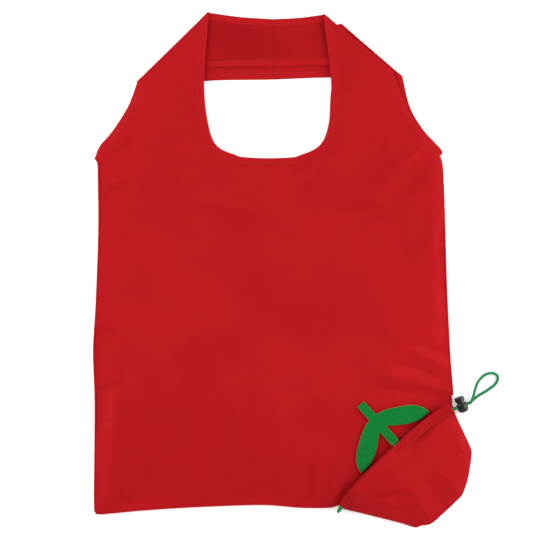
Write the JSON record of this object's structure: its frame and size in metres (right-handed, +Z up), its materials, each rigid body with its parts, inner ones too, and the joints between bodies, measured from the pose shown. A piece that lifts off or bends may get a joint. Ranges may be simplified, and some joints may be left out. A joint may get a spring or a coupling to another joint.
{
  "type": "foldable tote bag",
  "caption": "Red foldable shopping tote lying flat, with a drawcord stow pouch at its corner, a felt leaf and a sprung cord lock.",
  "frame": {"origin": "under the back panel, on the bag's centre line and half way up its body, where it rests on the table", "axes": "+Y from the bag's bottom to its handles, +X across it towards the pouch's corner, +Z up out of the front panel"},
  "size_m": [0.4459, 0.5669, 0.0156],
  "materials": {
    "red_cloth": "plain-woven polyester, outer side",
    "red_cloth_shade": "plain-woven polyester, inner side",
    "red_thread": "overlocked seam in matching thread",
    "green_felt": "pressed felt",
    "green_cord": "braided round cord",
    "black_plastic": "moulded, soft gloss",
    "spring_steel": "drawn wire"
  },
  "bodies": {
    "bag": {"front_panel": "red_cloth", "back_panel": "red_cloth_shade", "side_seam_left": "red_thread", "side_seam_right": "red_thread", "bottom_seam": "red_thread", "corner_seam": "red_thread", "pouch_front": "red_cloth", "pouch_back": "red_cloth", "pouch_edge_seam": "red_thread", "pouch_casing_front": "red_cloth", "pouch_casing_back": "red_cloth", "drawcord": "green_cord", "drawcord_loop": "green_cord", "leaf_tack": "green_cord"},
    "front_handle": {"front_handle_left": "red_cloth", "front_handle_right": "red_cloth", "front_handle_seam": "red_thread"},
    "back_handle": {"back_handle_left": "red_cloth", "back_handle_right": "red_cloth", "back_handle_seam": "red_thread"},
    "leaf": {"leaf": "green_felt"},
    "cord_lock": {"cord_lock_barrel": "black_plastic", "cord_lock_spring": "spring_steel"},
    "lock_button": {"cord_lock_plunger": "black_plastic"}
  },
  "joints": [
    {"name": "front_handle_swing", "type": "hinge", "parent": "bag", "child": "front_handle", "pos_m": [0, 0.1937, 0.007], "axis": [1, 0, 0], "range_deg": [0, 175]},
    {"name": "back_handle_swing", "type": "hinge", "parent": "bag", "child": "back_handle", "pos_m": [0, 0.1937, -0.0004], "axis": [1, 0, 0], "range_deg": [-175, 0]},
    {"name": "leaf_flap", "type": "hinge", "parent": "bag", "child": "leaf", "pos_m": [0.13598, -0.11902, 0.01265], "axis": [0.7411, 0.6714, 0], "range_deg": [0, 170]},
    {"name": "cord_lock_slide", "type": "slide", "parent": "bag", "child": "cord_lock", "axis": [0.9272, 0.3746, 0], "range_m": [0, 0.02], "deforming": ["drawcord_loop"]},
    {"name": "button_press", "type": "slide", "parent": "cord_lock", "child": "lock_button", "axis": [0.3746, -0.9272, 0], "range_m": [0, 0.0024], "stiffness_N_per_m": 700, "springref_m": -0.001, "deforming": ["cord_lock_spring"]}
  ]
}
